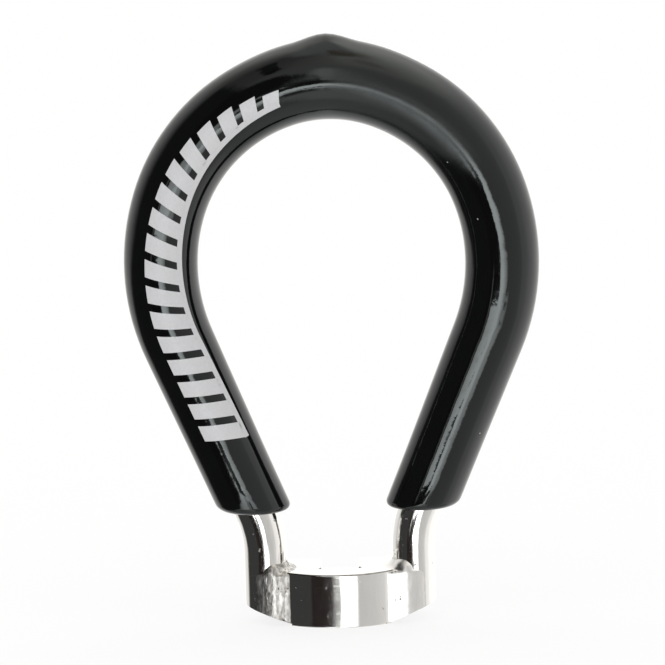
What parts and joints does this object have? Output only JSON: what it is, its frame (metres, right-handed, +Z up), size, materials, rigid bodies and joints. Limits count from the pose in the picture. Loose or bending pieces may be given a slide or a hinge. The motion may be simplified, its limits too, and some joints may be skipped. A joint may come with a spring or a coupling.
{
  "type": "spoke wrench",
  "caption": "Loop-handled spoke wrench: bent rod with a dipped vinyl grip, brazed to a plated jaw head with a nipple slot",
  "frame": {"origin": "middle of the flat foot under the jaw, in the plane of the bent rod", "axes": "+Z up from the foot to the crown of the loop, +X across the loop, -Y towards the convex front face of the jaw, +Y the way the nipple slot opens"},
  "size_m": [0.0358, 0.0067, 0.0513],
  "materials": {
    "plated_jaw": "bright nickel-chrome plating over machined steel",
    "plated_rod": "bright nickel-chrome plating over drawn steel rod",
    "braze": "plated over, slightly rough and pitted",
    "vinyl": "thick glossy dipped vinyl"
  },
  "bodies": {
    "root": {"jaw_head": "plated_jaw", "handle_rod": "plated_rod", "braze_left": "braze", "braze_right": "braze", "grip_sleeve": "vinyl"}
  },
  "joints": []
}
